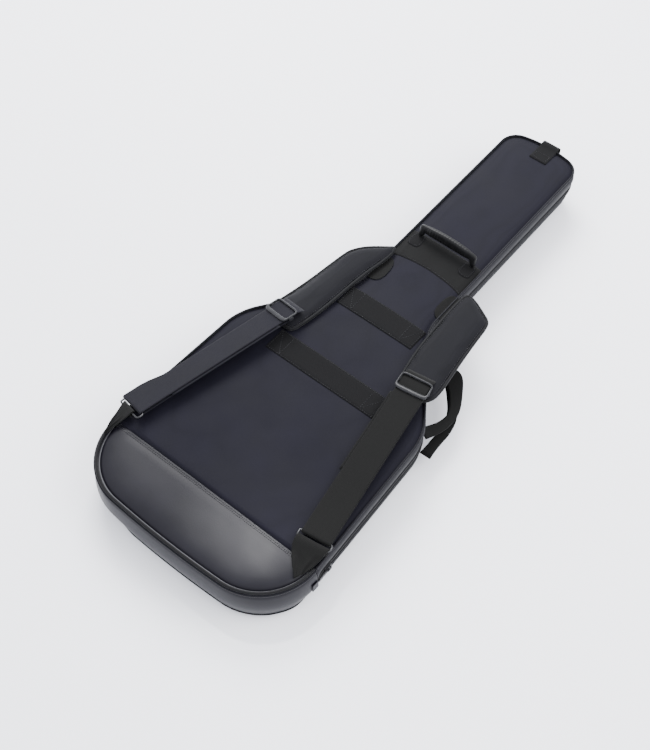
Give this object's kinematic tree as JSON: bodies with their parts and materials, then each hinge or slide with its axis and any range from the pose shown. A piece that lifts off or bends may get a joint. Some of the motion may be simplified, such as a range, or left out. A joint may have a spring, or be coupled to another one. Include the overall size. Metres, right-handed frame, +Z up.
{
  "type": "padded gig bag",
  "caption": "Long padded soft case with a wide body and a narrow neck, zipped round the side, with shoulder straps, carry handles and a leatherette boot.",
  "frame": {"origin": "on the resting face under the body pocket, half way along the bag and on its centre line", "axes": "+X across the bag to the side with the side handle, +Y towards the head end, +Z up out of the strap side"},
  "size_m": [0.4384, 1.0553, 0.1197],
  "materials": {
    "nylon": "matt woven nylon",
    "gusset_nylon": "matt woven nylon",
    "boot_leatherette": "smooth satin leatherette",
    "webbing": "ribbed woven webbing",
    "strap_pad": "matt woven nylon over foam",
    "piping": "smooth piping",
    "lining": "brushed lining",
    "foam": "closed-cell foam",
    "zip_tape": "woven zip tape and nylon coil",
    "buckle_plastic": "glossy moulded plastic",
    "handle_rubber": "moulded grip",
    "ring_metal": "plated wire",
    "slider_metal": "black enamel"
  },
  "bodies": {
    "front_shell": {"front_panel": "nylon", "front_foam": "foam", "front_lining": "lining", "front_gusset": "gusset_nylon", "front_zip_tape": "zip_tape", "front_piping": "piping", "boot_panel": "boot_leatherette", "boot_gusset": "boot_leatherette", "boot_piping": "piping", "boot_foam": "foam", "boot_lining": "lining", "zip_end_tabs": "boot_leatherette", "body_pocket_panel": "nylon", "body_pocket_gusset": "nylon", "body_pocket_zip_tape": "zip_tape", "neck_pocket_panel": "nylon", "neck_pocket_gusset": "nylon", "neck_pocket_zip_tape": "zip_tape", "end_pin_pad": "boot_leatherette", "neck_rest": "lining", "neck_strap": "webbing"},
    "back_shell": {"back_panel": "nylon", "back_foam": "foam", "back_lining": "lining", "back_zip_tape": "zip_tape", "back_gusset": "gusset_nylon", "back_piping": "piping", "neck_patch": "nylon", "lower_cross_band": "webbing", "upper_cross_band": "webbing", "hang_loop": "webbing", "carry_handle_tabs": "handle_rubber", "left_strap_pad": "strap_pad", "left_strap_anchor": "webbing", "left_strap_webbing": "webbing", "left_ring": "ring_metal", "left_anchor_tab": "webbing", "right_strap_pad": "strap_pad", "right_strap_anchor": "webbing", "right_strap_webbing": "webbing", "right_ring": "ring_metal", "right_anchor_tab": "webbing"},
    "carry_handle": {"carry_handle": "handle_rubber"},
    "side_handle_back": {"side_handle_back": "webbing"},
    "side_handle_front": {"side_handle_front": "webbing"},
    "left_triglide": {"left_triglide": "buckle_plastic"},
    "right_triglide": {"right_triglide": "buckle_plastic"},
    "main_slider": {"main_slider": "slider_metal"},
    "main_pull": {"main_pull": "slider_metal"},
    "body_pocket_slider": {"body_pocket_slider": "slider_metal"},
    "body_pocket_pull": {"body_pocket_pull": "slider_metal"},
    "neck_pocket_slider": {"neck_pocket_slider": "slider_metal"},
    "neck_pocket_pull": {"neck_pocket_pull": "slider_metal"}
  },
  "joints": [
    {"name": "lid_hinge", "type": "hinge", "parent": "front_shell", "child": "back_shell", "pos_m": [0, -0.4125, 0.087], "axis": [1, 0, 0], "range_deg": [0, 130]},
    {"name": "carry_handle_fold", "type": "hinge", "parent": "back_shell", "child": "carry_handle", "pos_m": [0, 0.1995, 0.0925], "axis": [1, 0, 0], "range_deg": [-70, 92]},
    {"name": "side_handle_back_lift", "type": "hinge", "parent": "back_shell", "child": "side_handle_back", "pos_m": [0.118, -0.0165, 0.0505], "axis": [0.579, -0.8154, 0], "range_deg": [0, 30]},
    {"name": "side_handle_front_drop", "type": "hinge", "parent": "front_shell", "child": "side_handle_front", "pos_m": [0.118, -0.0165, 0.0415], "axis": [0.579, -0.8154, 0], "range_deg": [-30, 0]},
    {"name": "main_slider_travel", "type": "slide", "parent": "front_shell", "child": "main_slider", "axis": [-0.0415, 0.9991, 0], "range_m": [0, 0.19]},
    {"name": "main_pull_swing", "type": "hinge", "parent": "main_slider", "child": "main_pull", "pos_m": [0.21126, -0.38431, 0.046], "axis": [0, 0, 1], "range_deg": [0, 172]},
    {"name": "body_pocket_slider_travel", "type": "slide", "parent": "front_shell", "child": "body_pocket_slider", "axis": [-0.0415, 0.9991, 0], "range_m": [0, 0.22]},
    {"name": "body_pocket_pull_swing", "type": "hinge", "parent": "body_pocket_slider", "child": "body_pocket_pull", "pos_m": [0.18978, -0.37319, 0.0065], "axis": [0, 0, 1], "range_deg": [0, 172]},
    {"name": "neck_pocket_slider_travel", "type": "slide", "parent": "front_shell", "child": "neck_pocket_slider", "axis": [0, 1, 0], "range_m": [0, 0.28]},
    {"name": "neck_pocket_pull_swing", "type": "hinge", "parent": "neck_pocket_slider", "child": "neck_pocket_pull", "pos_m": [0.0635, 0.1495, 0.0065], "axis": [0, 0, 1], "range_deg": [0, 172]},
    {"name": "right_triglide_travel", "type": "slide", "parent": "back_shell", "child": "right_triglide", "axis": [0.148, -0.9886, -0.0276], "range_m": [0, 0.2]},
    {"name": "left_triglide_travel", "type": "slide", "parent": "back_shell", "child": "left_triglide", "axis": [-0.2217, -0.9749, -0.0203], "range_m": [0, 0.13]}
  ]
}
